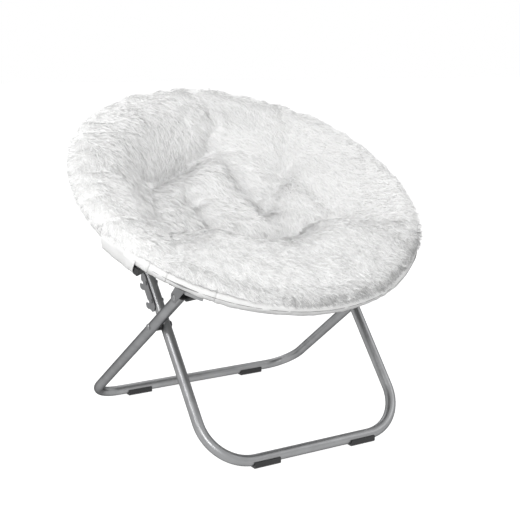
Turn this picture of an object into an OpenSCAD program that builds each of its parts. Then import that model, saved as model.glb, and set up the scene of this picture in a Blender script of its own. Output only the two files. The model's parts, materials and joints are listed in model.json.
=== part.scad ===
// Folding saucer chair: a two-part tube ring on crossing tube legs, with a sling and a tufted cushion.
// X runs across the chair, -Y is its front and Z is up. The ring's centre stands over the origin.

/* [Seat ring] */
// Radius of the ring's centre line
ring_r = 370; // [350:1:390]
// Diameter of the ring's tube
ring_tube_d = 19; // [17:0.5:20]
// Height of the ring's centre above the floor
ring_height = 503; // [490:1:520]
// Slope of the ring, high at the back
ring_tilt = 30.7; // [29:0.1:32]

/* [Legs] */
// Diameter of the leg tube
leg_tube_d = 22; // [20:0.5:24]
// Wall of every tube
tube_wall = 1.2; // [1:0.1:2]
// Bend radius of the front leg frame's corners
front_bend_r = 94; // [70:1:110]
// Bend radius of the rear leg frame's corners
rear_bend_r = 66; // [50:1:90]
// Distance of the leg pivot in front of the centre
pivot_front = 64; // [58:1:70]
// Depth of the leg pivot below the ring's centre
pivot_depth = 252; // [246:1:258]
// Gap between the two leg tubes at their pivot
pivot_gap = 5.2; // [4.8:0.1:6]
// Length of tube past each bracket pivot
leg_tail = 9; // [8:0.5:11]

/* [Feet] */
// Height that the pads lift the floor bars
pad_lift = 2.6; // [2:0.1:4]
// Length of a front foot pad
front_pad_len = 58; // [40:1:70]
// Distance of a front foot pad from the middle
front_pad_x = 114; // [95:1:120]
// Length of a rear foot pad
rear_pad_len = 58; // [40:1:70]
// Distance of a rear foot pad from the middle
rear_pad_x = 151; // [130:1:160]

/* [Fittings] */
// Diameter of the pivot rivets
rivet_d = 7; // [6:0.5:8]
// Radial clearance of a rivet in a hole that turns on it
run_fit = 0.05; // [0.02:0.01:0.1]
// Thickness of the bracket plates
plate_t = 2; // [1.5:0.1:3]
// Free space between a leg tube and each bracket plate
plate_clear = 1.2; // [1:0.1:2]
// Thickness of the catch plates
catch_t = 2; // [1.5:0.1:2.5]
// Thickness of the fold hinge's tongue
tongue_t = 5; // [4:0.5:6]
// Length of the ring cut away on the front side of the hinge pin
hinge_gap_front = 18; // [16:1:22]
// Length of the ring cut away on the back side of the hinge pin
hinge_gap_rear = 30; // [28:1:36]

/* [Seat] */
// Radial thickness of the fabric sleeve on the ring
sleeve_t = 1.5; // [1:0.1:2]
// Depth of the sling below the ring
sling_depth = 138; // [120:1:142]
// Thickness of the sling
sling_t = 2; // [1.5:0.1:3]
// Height of the cushion's roll above the ring
roll_h = 24; // [18:1:32]
// Depth of the seat's middle below the ring
well_depth = 82; // [70:1:90]
// Reach of the cushion past the ring's centre line
cushion_over = 15; // [12:1:20]
// Number of tufts in the outer round
outer_tufts = 7; // [5:1:9]
// Number of tufts in the inner round
inner_tufts = 6; // [5:1:8]

/* [Hidden] */

$fn = 96;
over = 2;
touch = 0.05;
gap = 0.3;
sides = [-1, 1];

steel = "#a9abad";
dark_steel = "#77797b";
black = "#1c1c1d";
white_cloth = "#f0f0ee";
fur_white = "#f7f7f5";

bar_z = leg_tube_d / 2 + pad_lift;
ring_pipe_r = ring_tube_d / 2;
leg_pipe_r = leg_tube_d / 2;
leg_bore_d = leg_tube_d - 2 * tube_wall;
rivet_r = rivet_d / 2;
hole_r = rivet_r + run_fit;
head_r = rivet_d;
head_h = rivet_d * 0.36;

function ring_y_at(x) = sqrt(ring_r * ring_r - x * x);
function polar(r, a) = [r * cos(a), r * sin(a)];
function mix(a, b, t) = a + (b - a) * t;
// A point of the ring's own plane and height, written in the chair's side plane
function from_ring(p) = [
  p[0] * cos(ring_tilt) - p[1] * sin(ring_tilt),
  ring_height + p[0] * sin(ring_tilt) + p[1] * cos(ring_tilt)
];

// Widths of the leg frames and place of the fold hinge, as shares of the ring's radius
front_half_share = 0.61784;
rear_half_share = 0.73108;
hinge_share = 0.39189;
front_half_w = ring_r * front_half_share;
rear_half_w = ring_r * rear_half_share;
hinge_front = ring_r * hinge_share;

// The bracket pivots lie inside the ring and below it, clear of its tube and the cushion
rear_half_pivot = front_half_w + leg_tube_d + pivot_gap;
rear_inset = ring_pipe_r + leg_tube_d * 0.81;
rear_drop = ring_pipe_r + leg_tube_d * 0.801;
front_inset = ring_pipe_r + leg_tube_d * 0.841;
front_drop = ring_pipe_r + leg_tube_d * 1.994;
ring_pivot_rear = [ring_y_at(front_half_w) - rear_inset, -rear_drop];
ring_pivot_front = [front_inset - ring_y_at(rear_half_pivot), -front_drop];

// Each leg line runs from its bracket pivot through the leg pivot down to its floor bar
pivot_height = ring_height - pivot_depth;
pivot_pt = [-pivot_front, pivot_height];
front_arm = from_ring(ring_pivot_rear) - pivot_pt;
rear_arm = from_ring(ring_pivot_front) - pivot_pt;
front_angle = atan2(front_arm[1], front_arm[0]);
rear_angle = atan2(rear_arm[1], rear_arm[0]);
front_leg_reach = norm(front_arm);
rear_leg_reach = norm(rear_arm);
front_rise = pivot_height - bar_z;
front_low_len = front_rise / sin(front_angle);
rear_low_len = front_rise / sin(rear_angle);
front_bar_y = pivot_front + front_low_len * cos(front_angle);
rear_bar_y = -pivot_front - rear_low_len * cos(rear_angle);
rear_lean = (rear_half_w - rear_half_pivot) / rear_low_len;
rear_half_bracket = rear_half_pivot - rear_lean * rear_leg_reach;

// The fold hinge
hinge_x = ring_y_at(hinge_front);
front_start = asin((hinge_front + hinge_gap_front) / ring_r);
rear_start = asin((hinge_front - hinge_gap_rear) / ring_r);
hinge_slant = asin(hinge_front / ring_r);

module on_ring() {
  translate([0, 0, ring_height]) rotate([ring_tilt, 0, 0]) children();
}

module on_front_leg() {
  translate([0, -front_bar_y, bar_z]) rotate([front_angle, 0, 0]) children();
}

module on_rear_leg() {
  translate([0, rear_bar_y, bar_z]) rotate([rear_angle, 0, 0]) children();
}

// A round bar along X with its middle at the given point
module x_bar(r, length, p = [0, 0, 0]) {
  translate(p) rotate([0, 90, 0]) cylinder(r = r, h = length, center = true);
}

// A profile drawn in the side plane and given a thickness along X
module side_plate(x, t) {
  translate([x - t / 2, 0, 0]) rotate([90, 0, 90]) linear_extrude(t) children();
}

// Two discs and the band that is tangent to both
module strap(p1, r1, p2, r2) {
  along = p2 - p1;
  a = atan2(along[1], along[0]);
  b = acos((r1 - r2) / norm(along));
  translate(p1) circle(r1);
  translate(p2) circle(r2);
  polygon([p1 + polar(r1, a + b), p2 + polar(r2, a + b), p2 + polar(r2, a - b), p1 + polar(r1, a - b)]);
}

// A domed rivet head that points along +X from the given point
module rivet_head(p, side) {
  translate(p) rotate([0, 90 * side, 0]) {
    cylinder(r1 = head_r, r2 = head_r * 0.8, h = head_h * 0.7);
    cylinder(r1 = head_r * 0.8, r2 = head_r * 0.45, h = head_h);
  }
}

/* Leg frames */

// A leaning side's tube swells by this much at the end of its bend
bead = 0.04;

// One U-shaped run of round bar: the floor bar lies on X and the sides rise along Y
module u_bar(d, half_low, half_high, rise, bend_r, end_len) {
  lean = atan2(half_high - half_low, rise);
  turn = 90 - lean;
  tangent = round(bend_r * tan(turn / 2) * 100) / 100;
  x_bar(d / 2, 2 * (half_low - tangent));
  for (side = sides) scale([side, 1, 1]) {
    translate([half_low - tangent, bend_r, 0])
      rotate([0, 0, -90]) rotate_extrude(angle = turn) translate([bend_r, 0]) circle(d = d);
    translate([half_low, 0, 0]) rotate([0, 0, -lean]) translate([0, tangent, 0]) {
      if (lean != 0) sphere(d = d + bead);
      rotate([-90, 0, 0]) cylinder(d = d, h = end_len - tangent);
    }
  }
}

module front_leg_frame() {
  length = front_low_len + front_leg_reach + leg_tail;
  color(steel) on_front_leg() difference() {
    u_bar(leg_tube_d, front_half_w, front_half_w, front_low_len, front_bend_r, length);
    u_bar(leg_bore_d, front_half_w, front_half_w, front_low_len, front_bend_r, length + over);
    for (side = sides) {
      x_bar(hole_r, 2 * leg_tube_d, [side * front_half_w, front_low_len, 0]);
      x_bar(hole_r, 2 * leg_tube_d, [side * front_half_w, front_low_len + front_leg_reach, 0]);
      for (s = catch_rivet_s)
        x_bar(catch_rivet_r, 2 * leg_tube_d, [side * front_half_w, front_low_len + s, 0]);
    }
  }
}

module rear_leg_frame() {
  length = rear_low_len + rear_leg_reach + leg_tail;
  color(steel) on_rear_leg() difference() {
    u_bar(leg_tube_d, rear_half_w, rear_half_pivot, rear_low_len, rear_bend_r, length);
    u_bar(leg_bore_d, rear_half_w, rear_half_pivot, rear_low_len, rear_bend_r, length + over);
    for (side = sides) {
      x_bar(hole_r, 2 * leg_tube_d, [side * rear_half_pivot, rear_low_len, 0]);
      x_bar(hole_r, 2 * leg_tube_d, [side * rear_half_bracket, rear_low_len + rear_leg_reach, 0]);
    }
  }
}

// A plug for an open tube end: a disc outside and a stem in the bore
cap_t = 2.5;
cap_stem = 3.5;

module tube_cap(tube_d) {
  cylinder(d = tube_d, h = cap_t * 0.6);
  translate([0, 0, cap_t * 0.6]) cylinder(d1 = tube_d, d2 = tube_d * 0.8, h = cap_t * 0.4);
  translate([0, 0, -cap_stem]) cylinder(d = tube_d - 2 * tube_wall - 2 * touch, h = cap_stem);
}

module front_leg_caps() {
  color(black) on_front_leg() for (side = sides)
    translate([side * front_half_w, front_low_len + front_leg_reach + leg_tail, 0])
      rotate([-90, 0, 0]) tube_cap(leg_tube_d);
}

module rear_leg_caps() {
  lean = atan(rear_lean);
  reach = rear_low_len + rear_leg_reach + leg_tail;
  color(black) on_rear_leg() for (side = sides) scale([side, 1, 1])
    translate([rear_half_w, 0, 0]) rotate([0, 0, lean]) translate([0, reach, 0])
      rotate([-90, 0, 0]) tube_cap(leg_tube_d);
}

// Foot pads: a saddle under the floor bar with a flat sole
pad_half_w = leg_tube_d * 0.62;
pad_cheek_h = bar_z * 0.95;
pad_chamfer = leg_tube_d * 0.12;

module foot_pad(length) {
  side_plate(0, length) difference() {
    polygon([
      [-pad_half_w + pad_chamfer, 0], [pad_half_w - pad_chamfer, 0], [pad_half_w, pad_chamfer],
      [pad_half_w, pad_cheek_h], [-pad_half_w, pad_cheek_h], [-pad_half_w, pad_chamfer]
    ]);
    translate([0, bar_z]) circle(leg_pipe_r + touch);
  }
}

module front_foot_pads() {
  color(black) for (side = sides) translate([side * front_pad_x, -front_bar_y, 0]) foot_pad(front_pad_len);
}

module rear_foot_pads() {
  color(black) for (side = sides) translate([side * rear_pad_x, rear_bar_y, 0]) foot_pad(rear_pad_len);
}

/* Leg pivot */

// One rivet a side, through the rear frame's tube, a spacer and the front frame's tube
module pivot_rivets() {
  inner = front_half_w - leg_pipe_r - touch;
  outer = rear_half_pivot + leg_pipe_r + touch;
  color(steel) for (side = sides) {
    x_bar(rivet_r, outer - inner, [side * (inner + outer) / 2, pivot_pt[0], pivot_pt[1]]);
    rivet_head([side * outer, pivot_pt[0], pivot_pt[1]], side);
    rivet_head([side * inner, pivot_pt[0], pivot_pt[1]], -side);
  }
}

spacer_r = leg_pipe_r * 0.9;

module pivot_spacers() {
  inner = front_half_w + leg_pipe_r + gap;
  outer = rear_half_pivot;
  color(black) difference() {
    for (side = sides) difference() {
      x_bar(spacer_r, outer - inner, [side * (inner + outer) / 2, pivot_pt[0], pivot_pt[1]]);
      x_bar(hole_r, leg_tube_d * 2, [side * outer, pivot_pt[0], pivot_pt[1]]);
    }
    on_rear_leg() for (side = sides) translate([side * rear_half_pivot, rear_low_len, 0])
      rotate([0, 0, side * atan(rear_lean)]) rotate([90, 0, 0])
        cylinder(r = leg_pipe_r + touch, h = 4 * leg_tube_d, center = true);
  }
}

/* Catch plates, riveted to the outer face of the front frame's tubes above the leg pivot */

catch_rivet_r = rivet_d * 0.36;
catch_low = leg_tube_d * 2;
catch_high = leg_tube_d * 5.2;
catch_w = leg_tube_d;
catch_tooth_r = leg_pipe_r * 0.8;
catch_teeth = [leg_tube_d * 2.77, leg_tube_d * 4.82];
catch_rivet_s = [leg_tube_d * 2.55, leg_tube_d * 4.45];

// One hook, as points up its outer side, slot and mouth: [across the plate, along the tube]
catch_hook = [
  [0, -1.9], [1.2, -1], [1.7, -0.3], [1.65, 0.3], [1.3, 0.65], [0.95, 0.6], [0.3, -0.05], [0, -0.25],
  [-0.35, -0.2], [-0.45, 0.15], [0, 0.8]
];
catch_end = [[1, 0], [0.85, -0.3], [0.5, -0.45], [0.15, -0.3], [0, 0]];

// The plate's outline: Y runs along the tube, X points to the back of the chair
module catch_outline() {
  difference() {
    polygon(concat(
      [for (q = catch_end) [catch_w * (1 - q[0]), catch_low + catch_w * q[1]]],
      [for (s = catch_teeth) for (q = catch_hook)
        [catch_w + catch_tooth_r * q[0], s + catch_tooth_r * q[1]]],
      [for (q = catch_end) [catch_w * q[0], catch_high - catch_w * q[1]]]
    ));
    for (s = catch_rivet_s) translate([catch_w * 0.3, s]) circle(catch_rivet_r + touch);
  }
}

module catch_plate(side) {
  x = side * (front_half_w + leg_pipe_r + gap + catch_t / 2);
  color(dark_steel) on_front_leg() translate([x - catch_t / 2, front_low_len, 0])
    multmatrix([[0, 0, 1, 0], [0, 1, 0, 0], [-1, 0, 0, 0], [0, 0, 0, 1]])
      translate([-catch_w * 0.3, 0, 0]) linear_extrude(catch_t) catch_outline();
}

module catch_plate_left() { catch_plate(-1); }
module catch_plate_right() { catch_plate(1); }

module catch_rivets() {
  inner = front_half_w - leg_pipe_r - touch;
  outer = front_half_w + leg_pipe_r + gap + catch_t;
  color(steel) on_front_leg() for (side = sides) for (s = catch_rivet_s) {
    x_bar(catch_rivet_r - touch, outer - inner, [side * (inner + outer) / 2, front_low_len + s, 0]);
    x_bar(catch_rivet_r * 1.7, catch_t * 0.6,
      [side * (outer + catch_t * 0.3 + touch), front_low_len + s, 0]);
    x_bar(catch_rivet_r * 1.7, catch_t * 0.6, [side * (inner - catch_t * 0.3), front_low_len + s, 0]);
  }
}

/* Seat ring */

// Part of the ring from one angle to another, as a solid bar of the given radius
module ring_arc(r, from, to) {
  rotate([0, 0, from]) rotate_extrude(angle = to - from) translate([ring_r, 0]) circle(r);
}

module front_ring_tube() {
  color(steel) on_ring() difference() {
    ring_arc(ring_pipe_r, 180 + front_start, 360 - front_start);
    ring_arc(ring_pipe_r - tube_wall, 180 + front_start - over, 360 - front_start + over);
  }
}

module rear_ring_tube() {
  color(steel) on_ring() difference() {
    ring_arc(ring_pipe_r, -rear_start, 180 + rear_start);
    ring_arc(ring_pipe_r - tube_wall, -rear_start - over, 180 + rear_start + over);
  }
}

// A channel bracket: two plates from the ring's tube to the pivot, and a web under the tube
ear_r = leg_pipe_r;
root_r = ring_pipe_r + plate_t * 2;
web_t = ring_pipe_r * 0.9;

module bracket(x, end, pivot) {
  half = leg_pipe_r + plate_clear + plate_t / 2;
  difference() {
    union() {
      for (hand = sides) {
        px = x + hand * half;
        side_plate(px, plate_t) intersection() {
          strap([end * ring_y_at(px), 0], root_r, pivot, ear_r);
          translate([-ring_r * 2, -ring_r]) square([ring_r * 4, ring_r - ring_pipe_r * 0.75]);
        }
      }
      intersection() {
        translate([x, end * (ring_y_at(x) + ring_pipe_r * 0.6), -ring_pipe_r - web_t / 2 + plate_t])
          cube([2 * half, ring_tube_d * 2, web_t], center = true);
        difference() {
          cylinder(r = ring_r + ring_pipe_r, h = 4 * ring_tube_d, center = true);
          cylinder(r = ring_r - ring_pipe_r * 0.8, h = 5 * ring_tube_d, center = true);
        }
      }
    }
    ring_arc(ring_pipe_r + touch, end * 90 - 60, end * 90 + 60);
    x_bar(hole_r, 4 * leg_tube_d, [x, pivot[0], pivot[1]]);
  }
}

module front_bracket_left() { color(steel) on_ring() bracket(-rear_half_bracket, -1, ring_pivot_front); }
module front_bracket_right() { color(steel) on_ring() bracket(rear_half_bracket, -1, ring_pivot_front); }
module rear_bracket_left() { color(steel) on_ring() bracket(-front_half_w, 1, ring_pivot_rear); }
module rear_bracket_right() { color(steel) on_ring() bracket(front_half_w, 1, ring_pivot_rear); }

// The front frame turns on these two rivets
module rear_bracket_rivets() {
  half = leg_pipe_r + plate_clear + plate_t + touch;
  color(steel) on_ring() for (side = sides) {
    x_bar(rivet_r, 2 * half, [side * front_half_w, ring_pivot_rear[0], ring_pivot_rear[1]]);
    for (hand = sides)
      rivet_head([side * front_half_w + hand * half, ring_pivot_rear[0], ring_pivot_rear[1]], hand);
  }
}

// The rear frame's end is the linkage's open pivot, so each of these stops in its own plate
module front_bracket_rivets() {
  half = leg_pipe_r + plate_clear + plate_t + touch;
  color(steel) on_ring() for (side = sides) for (hand = sides) {
    x = side * rear_half_bracket + hand * half;
    x_bar(rivet_r, plate_t, [x - hand * plate_t / 2, ring_pivot_front[0], ring_pivot_front[1]]);
    rivet_head([x, ring_pivot_front[0], ring_pivot_front[1]], hand);
  }
}

/* Fold hinge: a channel under the ring's cut, with a clevis that holds the front part's tongue */

channel_w = ring_tube_d;
channel_h = ring_tube_d * 0.75;
channel_front = 53;
channel_rear = 40;
channel_top = -ring_pipe_r - gap;
ear_hinge_r = ring_pipe_r * 0.84;
ear_gap = tongue_t / 2 + gap;
boot_len = 11;
boot_wall = 1.5;

module on_hinge(side) {
  translate([side * hinge_x, -hinge_front, 0]) children();
}

// The channel's own frame: its Y follows the ring at the hinge
module along_ring(side) {
  rotate([0, 0, -side * hinge_slant]) children();
}

module hinge_channel(side) {
  color(steel) on_ring() on_hinge(side) difference() {
    union() {
      along_ring(side) difference() {
        translate([-channel_w / 2, -channel_front, channel_top - channel_h])
          cube([channel_w, channel_front + channel_rear, channel_h]);
        translate([-channel_w / 2 + plate_t, -channel_front - over, channel_top - channel_h - over])
          cube([
            channel_w - 2 * plate_t, channel_front + channel_rear + 2 * over, channel_h - plate_t + over
          ]);
      }
      for (hand = sides) side_plate(hand * (ear_gap + plate_t / 2), plate_t) {
        circle(ear_hinge_r);
        translate([-ear_hinge_r, channel_top - touch]) square([2 * ear_hinge_r, -channel_top + touch]);
      }
    }
    x_bar(rivet_r, 2 * channel_w);
  }
}

module hinge_channel_left() { hinge_channel(-1); }
module hinge_channel_right() { hinge_channel(1); }

// A plate on the pin, welded to a plug that sits in the end of the front tube
plug_out = 9;
plug_in = 14;
plug_slack = 0.25;

module hinge_tongue(side) {
  color(steel) on_ring() difference() {
    union() {
      on_hinge(side) side_plate(0, tongue_t) {
        circle(ear_hinge_r);
        translate([-hinge_gap_front, -ear_hinge_r * 0.7]) square([hinge_gap_front, ear_hinge_r * 1.4]);
      }
      rotate([0, 0, side > 0 ? -front_start : 180 + front_start])
        translate([ring_r, side * (plug_out - plug_in) / 2, 0]) rotate([90, 0, 0])
          cylinder(r = ring_pipe_r - tube_wall - plug_slack, h = plug_out + plug_in, center = true);
    }
    on_hinge(side) x_bar(hole_r, 2 * ring_tube_d);
  }
}

module hinge_tongue_left() { hinge_tongue(-1); }
module hinge_tongue_right() { hinge_tongue(1); }

module hinge_pins() {
  half = ear_gap + plate_t + touch;
  color(dark_steel) on_ring() for (side = sides) on_hinge(side) {
    x_bar(rivet_r, 2 * half);
    for (hand = sides) x_bar(rivet_r * 1.6, plate_t * 0.8, [hand * (half + plate_t * 0.4), 0, 0]);
  }
}

// A moulded boot on the front end of each channel
module hinge_boots() {
  w = channel_w + 2 * boot_wall;
  color(black) on_ring() for (side = sides) on_hinge(side) along_ring(side) difference() {
    translate([-w / 2, -channel_front - boot_wall, channel_top - channel_h - boot_wall])
      cube([w, boot_len, channel_h + boot_wall]);
    translate([-channel_w / 2 - touch, -channel_front - touch, channel_top - channel_h - touch])
      cube([channel_w + 2 * touch, boot_len + over, channel_h + over]);
  }
}

/* Fabric */

sleeve_r = ring_pipe_r + sleeve_t;
sling_r = ring_r - sleeve_r - gap;
bowl_power = 1.3;
sling_steps = 14;

function sling_h(r) = -sling_depth * pow(max(0, 1 - pow(r / sling_r, 2)), bowl_power);

// The sleeve is open below where a bracket or channel meets the tube
module sleeve_windows(end, x) {
  for (side = sides) translate([side * x, end * ring_y_at(x), -ring_tube_d])
    cube([3.2 * leg_tube_d, 2.6 * ring_tube_d, 2 * ring_tube_d - ring_pipe_r], center = true);
}

module rear_rim_sleeve() {
  end = asin((hinge_front - channel_rear) / ring_r) - atan(ring_tube_d / 2 / ring_r);
  color(white_cloth) on_ring() difference() {
    ring_arc(sleeve_r, -end, 180 + end);
    ring_arc(ring_pipe_r + touch, -end - over, 180 + end + over);
    sleeve_windows(1, front_half_w);
  }
}

module front_rim_sleeve() {
  start = asin((hinge_front + channel_front) / ring_r) + atan(ring_tube_d / 2 / ring_r);
  color(white_cloth) on_ring() difference() {
    ring_arc(sleeve_r, 180 + start, 360 - start);
    ring_arc(ring_pipe_r + touch, 180 + start - over, 360 - start + over);
    sleeve_windows(-1, rear_half_bracket);
  }
}

module seat_sling() {
  upper = [for (i = [0:sling_steps]) let (r = sling_r * sin(90 * i / sling_steps)) [r, sling_h(r)]];
  lower = [for (i = [sling_steps:-1:0]) let (r = sling_r * sin(90 * i / sling_steps))
    [r, sling_h(r) - sling_t]];
  color(white_cloth) on_ring() rotate_extrude() polygon(concat(upper, lower));
}

/* Cushion: a crowned pad with a roll round its rim, drawn down at its tufts and along its seams */

sectors = 42;
top_rings = 13;
edge_rings = 4;
hem_rings = 5;
under_rings = 5;
cushion_r = ring_r + cushion_over;
crown_r = ring_r - 1.6 * ring_tube_d;
lip_h = ring_pipe_r * 0.45;
under_gap = gap + sling_t / 2;
well_power = 2.3;

outer_tuft_r = ring_r * 0.61;
inner_tuft_r = ring_r * 0.3;
first_outer_tuft = 37;
first_inner_tuft = 31;
outer_tuft_depth = 13;
inner_tuft_depth = 24;
tuft_spread = ring_r * 0.075;
seam_depth = 7;
seam_spread = ring_r * 0.045;

outer_tuft_at = [for (k = [0:outer_tufts - 1])
  polar(outer_tuft_r, first_outer_tuft + 360 * k / outer_tufts)];
inner_tuft_at = [for (k = [0:inner_tufts - 1])
  polar(inner_tuft_r, first_inner_tuft + 360 * k / inner_tufts)];

function dent(d, spread) = exp(-pow(d / spread, 2));
function off_line(p, a, b) =
  let (t = min(1, max(0, ((p - a) * (b - a)) / ((b - a) * (b - a))))) norm(p - a - t * (b - a));
function tuft_drop(p) =
  max([for (q = outer_tuft_at) outer_tuft_depth * dent(norm(p - q), tuft_spread)]) +
  max([for (q = inner_tuft_at) inner_tuft_depth * dent(norm(p - q), tuft_spread)]);
function seam_drop(p) = seam_depth * max([for (k = [0:outer_tufts - 1])
  let (a = outer_tuft_at[k], b = outer_tuft_at[(k + 1) % outer_tufts], c = a * (crown_r / outer_tuft_r))
    max(dent(off_line(p, a, b), seam_spread), 0.7 * dent(off_line(p, a, c), seam_spread))]);
function crown_h(r) = mix(-well_depth, roll_h, pow(r / crown_r, well_power));
function ease(t) = let (u = min(1, max(0, t))) u * u * (3 - 2 * u);
// The thick roll across the front, which has no tufts: its share of a point, and its height there
front_roll_h = ring_r * 0.15;
front_roll_from = ring_r * 0.35;
front_roll_rise = ring_r * 0.14;
front_roll_fade = ring_r * 0.3;
function front_share(p) =
  ease((-p[1] / max(norm(p), touch) - 0.35) / 0.4) * ease((norm(p) - front_roll_from) / front_roll_rise);
function front_puff(p) = front_roll_h * front_share(p) * ease((crown_r - norm(p)) / front_roll_fade);
function top_h(p) =
  crown_h(norm(p)) + front_puff(p) - max(tuft_drop(p), seam_drop(p)) * (1 - front_share(p));

// Each ring of points is a list of [radius, height, whether the tufts draw it down]
top_line = [for (i = [1:top_rings]) let (r = crown_r * i / top_rings) [r, crown_h(r), 1]];
edge_line = [for (i = [1:edge_rings]) let (a = 90 * i / edge_rings)
  [mix(crown_r, cushion_r, sin(a)), mix(lip_h, roll_h, cos(a)), 0]];
hem_from = 28;
hem_to = 152;
hem_step = (hem_to - hem_from) / (hem_rings - 1);
hem_fit = (sleeve_r + gap + cushion_r * (1 - cos(180 / sectors))) / cos(hem_step / 2);
hem_line = [for (i = [0:hem_rings - 1]) let (a = hem_from + hem_step * i)
  [ring_r + hem_fit * cos(a), hem_fit * sin(a), 0]];
under_line = [for (i = [0:under_rings - 1])
  let (r = mix(sling_r - sleeve_r, ring_r * 0.14, i / (under_rings - 1)))
  [r, sling_h(r) + under_gap + sling_depth * 0.045 * sin(180 * i / (under_rings - 1)), 0]];
cushion_lines = concat(top_line, edge_line, hem_line, under_line);

module seat_cushion() {
  rings = len(cushion_lines);
  points = concat(
    [[0, 0, top_h([0, 0])]],
    [for (line = cushion_lines) for (j = [0:sectors - 1]) let (p = polar(line[0], 360 * j / sectors))
      [p[0], p[1], line[2] == 1 ? top_h(p) : line[1]]],
    [[0, 0, sling_h(0) + under_gap + sling_depth * 0.02]]
  );
  last = len(points) - 1;
  faces = concat(
    [for (j = [0:sectors - 1]) [0, 1 + (j + 1) % sectors, 1 + j]],
    [for (i = [0:rings - 2]) for (j = [0:sectors - 1])
      let (a = 1 + i * sectors, n = (j + 1) % sectors) [a + j, a + n, a + sectors + n]],
    [for (i = [0:rings - 2]) for (j = [0:sectors - 1])
      let (a = 1 + i * sectors, n = (j + 1) % sectors) [a + j, a + sectors + n, a + sectors + j]],
    [for (j = [0:sectors - 1]) let (a = last - sectors) [a + j, a + (j + 1) % sectors, last]]
  );
  color(fur_white) on_ring() polyhedron(points, faces, convexity = 6);
}

rear_leg_frame();
rear_foot_pads();
rear_leg_caps();
pivot_rivets();
pivot_spacers();
front_leg_frame();
front_foot_pads();
front_leg_caps();
catch_plate_left();
catch_plate_right();
catch_rivets();
rear_ring_tube();
rear_bracket_left();
rear_bracket_right();
rear_bracket_rivets();
hinge_channel_left();
hinge_channel_right();
hinge_pins();
hinge_boots();
rear_rim_sleeve();
seat_sling();
seat_cushion();
front_ring_tube();
front_bracket_left();
front_bracket_right();
front_bracket_rivets();
hinge_tongue_left();
hinge_tongue_right();
front_rim_sleeve();
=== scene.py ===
import json
import math

import bmesh
import bpy
import numpy as np
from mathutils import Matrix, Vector
from mathutils.kdtree import KDTree


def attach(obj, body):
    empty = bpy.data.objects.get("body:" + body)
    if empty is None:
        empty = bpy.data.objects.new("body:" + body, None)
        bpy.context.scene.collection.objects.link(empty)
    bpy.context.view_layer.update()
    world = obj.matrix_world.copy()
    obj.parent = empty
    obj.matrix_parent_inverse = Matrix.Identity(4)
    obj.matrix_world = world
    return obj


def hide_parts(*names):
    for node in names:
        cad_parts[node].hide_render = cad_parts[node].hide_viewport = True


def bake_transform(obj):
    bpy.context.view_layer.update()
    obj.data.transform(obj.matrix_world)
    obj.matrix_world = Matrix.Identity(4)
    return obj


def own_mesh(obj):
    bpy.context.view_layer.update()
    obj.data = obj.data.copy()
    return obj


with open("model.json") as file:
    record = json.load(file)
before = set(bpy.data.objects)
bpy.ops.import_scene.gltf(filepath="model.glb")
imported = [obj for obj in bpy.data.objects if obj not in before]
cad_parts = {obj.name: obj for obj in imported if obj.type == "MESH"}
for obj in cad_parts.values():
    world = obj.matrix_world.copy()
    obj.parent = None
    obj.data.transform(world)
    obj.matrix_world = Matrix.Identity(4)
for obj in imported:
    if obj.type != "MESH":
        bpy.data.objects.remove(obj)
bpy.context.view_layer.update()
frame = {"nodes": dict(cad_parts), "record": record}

# The ring's frame: x across, v toward the back in the ring's plane, h up from that plane. In metres.
TILT = math.radians(30.7)
RING_Z = 0.503        # height of the ring's middle above the floor
RING_R = 0.370        # to the middle of the ring's tube
HINGE_V = -0.145      # where the ring folds
SLEEVE_R = 0.011      # the ring's tube, which the fabric sleeve goes round
rng = np.random.default_rng(7)


def to_world(p):
    """Points of the ring's frame in the world's."""
    p = np.asarray(p, float)
    out = np.empty_like(p)
    out[..., 0] = p[..., 0]
    out[..., 1] = p[..., 1] * math.cos(TILT) - p[..., 2] * math.sin(TILT)
    out[..., 2] = RING_Z + p[..., 1] * math.sin(TILT) + p[..., 2] * math.cos(TILT)
    return out


def to_ring(p):
    """Points of the world in the ring's frame."""
    y, z = p[:, 1], p[:, 2] - RING_Z
    v = y * math.cos(TILT) + z * math.sin(TILT)
    h = -y * math.sin(TILT) + z * math.cos(TILT)
    return np.stack([p[:, 0], v, h], -1)


def ring_point(v, h, x=0.0):
    return Vector(to_world(np.array([[x, v, h]]))[0])


def unit_circle(sectors):
    """The angles of a whole turn and their directions in the ring's plane."""
    ang = np.arange(sectors) * 2 * math.pi / sectors
    return ang, np.stack([np.cos(ang), np.sin(ang)], -1)


# ---------------------------------------------------------------- materials

def new_mat(name):
    m = bpy.data.materials.new(name)
    m.use_nodes = True
    nt = m.node_tree
    return m, nt, nt.nodes["Principled BSDF"]


def tex_coords(nt):
    return nt.nodes.new("ShaderNodeTexCoord").outputs["Object"]


def math_node(nt, operation, first, second):
    """A math node whose two values are sockets or numbers."""
    node = nt.nodes.new("ShaderNodeMath")
    node.operation = operation
    for socket, value in zip(node.inputs, (first, second)):
        if isinstance(value, (int, float)):
            socket.default_value = value
        else:
            nt.links.new(value, socket)
    return node


def noise(nt, vec, scale, detail=4.0, rough=0.5):
    n = nt.nodes.new("ShaderNodeTexNoise")
    n.inputs["Scale"].default_value = scale
    n.inputs["Detail"].default_value = detail
    n.inputs["Roughness"].default_value = rough
    nt.links.new(vec, n.inputs["Vector"])
    return n.outputs["Fac"]


def ramp(nt, fac, stops):
    r = nt.nodes.new("ShaderNodeValToRGB")
    els = r.color_ramp.elements
    while len(els) < len(stops):
        els.new(0.5)
    for e, (pos, col) in zip(els, stops):
        e.position = pos
        e.color = (*col, 1.0)
    nt.links.new(fac, r.inputs["Fac"])
    return r.outputs["Color"]


def bump(nt, height, strength, distance, out):
    b = nt.nodes.new("ShaderNodeBump")
    b.inputs["Strength"].default_value = strength
    b.inputs["Distance"].default_value = distance
    nt.links.new(height, b.inputs["Height"])
    nt.links.new(b.outputs["Normal"], out)


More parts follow.
